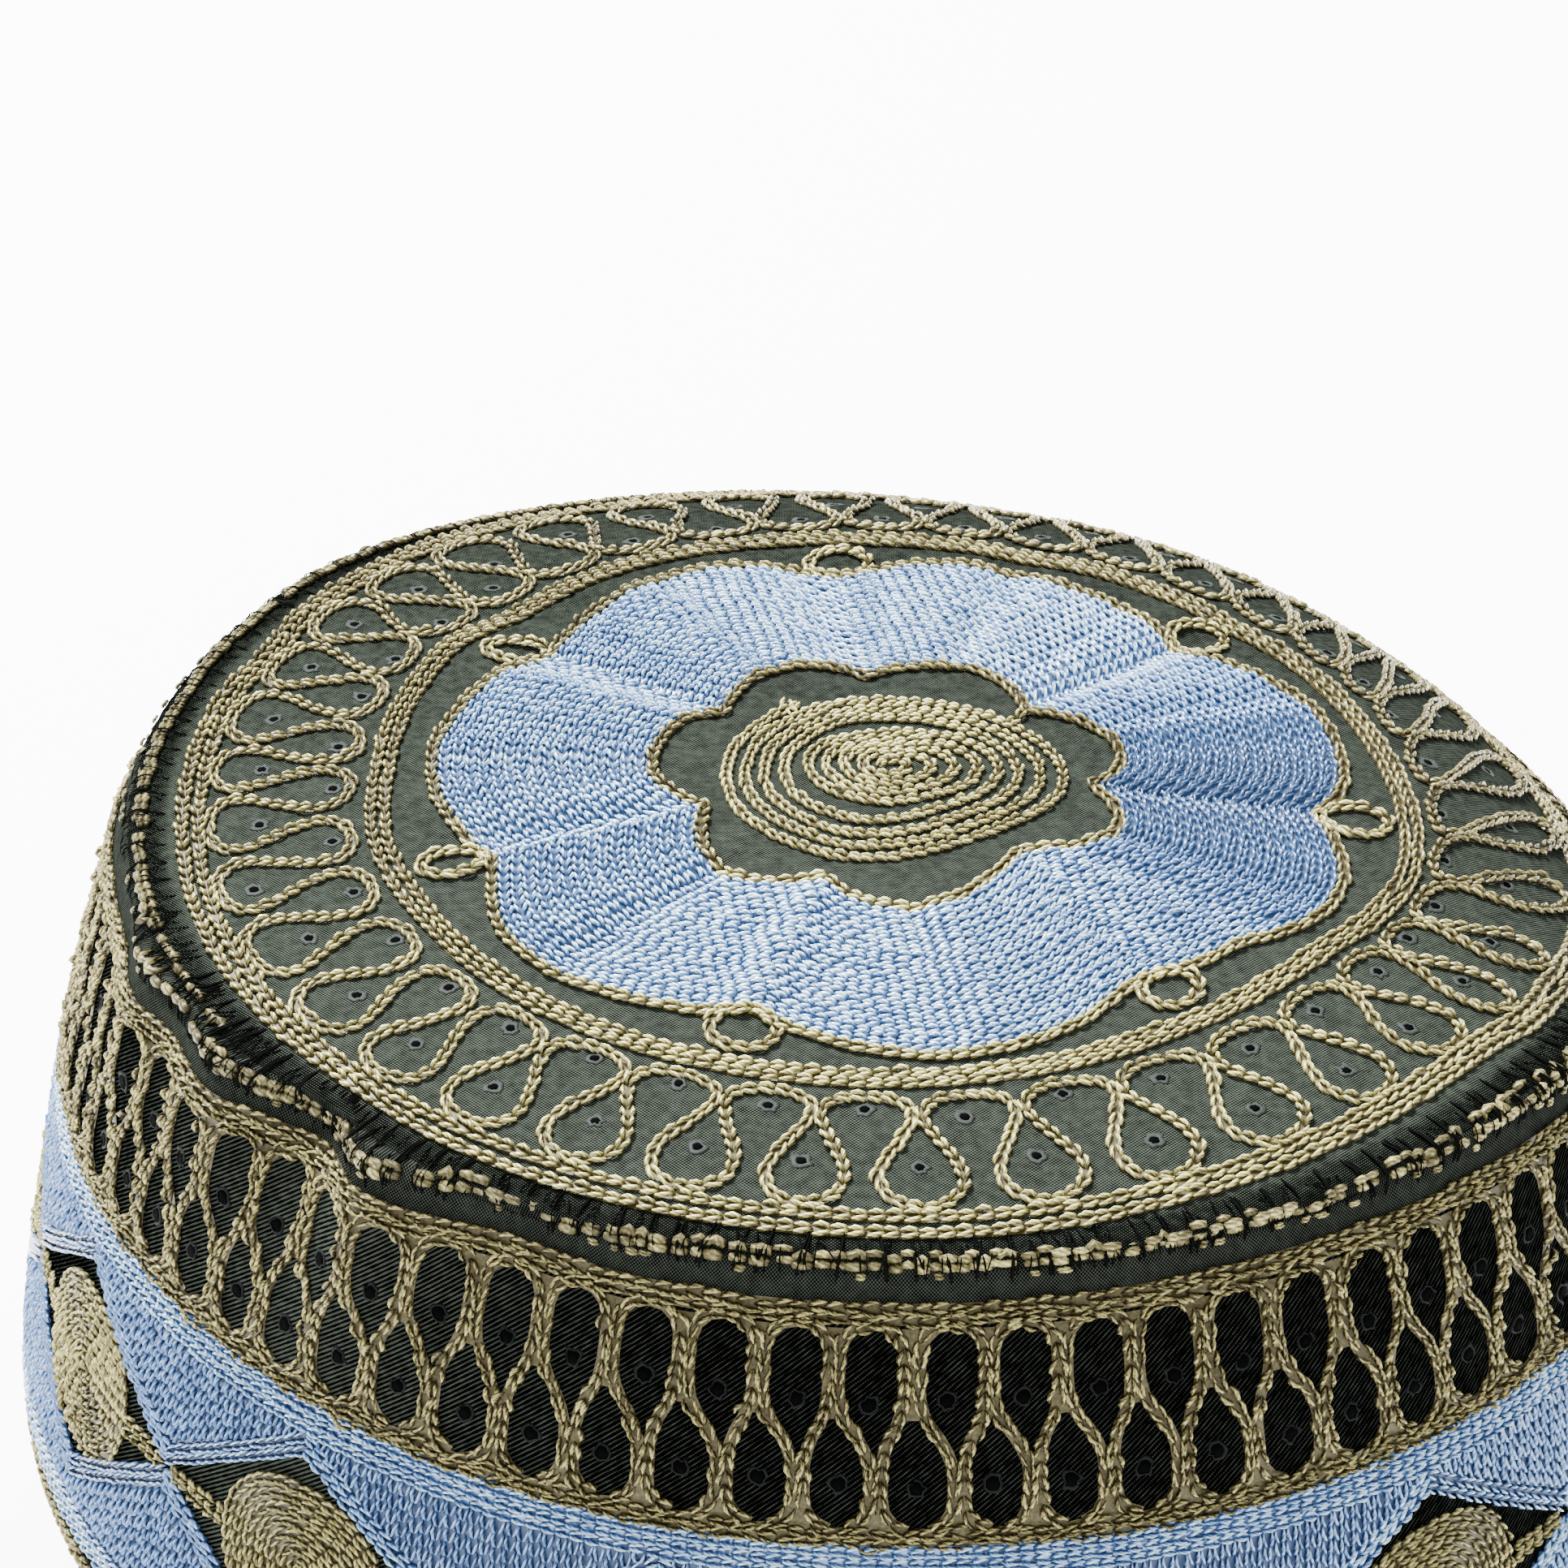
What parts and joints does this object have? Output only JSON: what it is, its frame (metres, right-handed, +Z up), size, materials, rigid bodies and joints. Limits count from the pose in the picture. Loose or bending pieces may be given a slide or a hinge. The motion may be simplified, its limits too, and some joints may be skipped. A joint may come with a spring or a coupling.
{
  "type": "embroidered kufi cap",
  "caption": "Round brimless cloth cap with a shallow domed top, a flared side wall and a turned hem, covered in gold and blue chain-stitch embroidery.",
  "frame": {"origin": "centre of the hem's ring, on the surface that the cap rests on", "axes": "+Z up through the middle of the top, -Y towards the front that the picture shows"},
  "size_m": [0.2022, 0.2022, 0.105],
  "materials": {
    "black_cloth": "fine plain-weave black cotton, matt with a faint olive sheen",
    "hem_cloth": "the same black cotton turned in as a hem",
    "gold_thread": "silky old-gold embroidery thread in chain stitch",
    "blue_thread": "silky mid-blue embroidery thread in chain stitch"
  },
  "bodies": {
    "root": {"crown_panel": "black_cloth", "side_band": "black_cloth", "hem_band": "hem_cloth", "seam_cord": "gold_thread", "centre_medallion": "gold_thread", "flower_field": "blue_thread", "inner_ring": "gold_thread", "outer_ring": "gold_thread", "leaf_medallion_01": "gold_thread", "leaf_medallion_02": "gold_thread", "leaf_medallion_03": "gold_thread", "leaf_medallion_04": "gold_thread", "leaf_medallion_05": "gold_thread", "leaf_medallion_06": "gold_thread", "leaf_medallion_07": "gold_thread", "leaf_medallion_08": "gold_thread", "leaf_medallion_09": "gold_thread", "leaf_medallion_10": "gold_thread", "leaf_medallion_11": "gold_thread", "leaf_medallion_12": "gold_thread", "leaf_medallion_13": "gold_thread", "leaf_medallion_14": "gold_thread"}
  },
  "joints": []
}
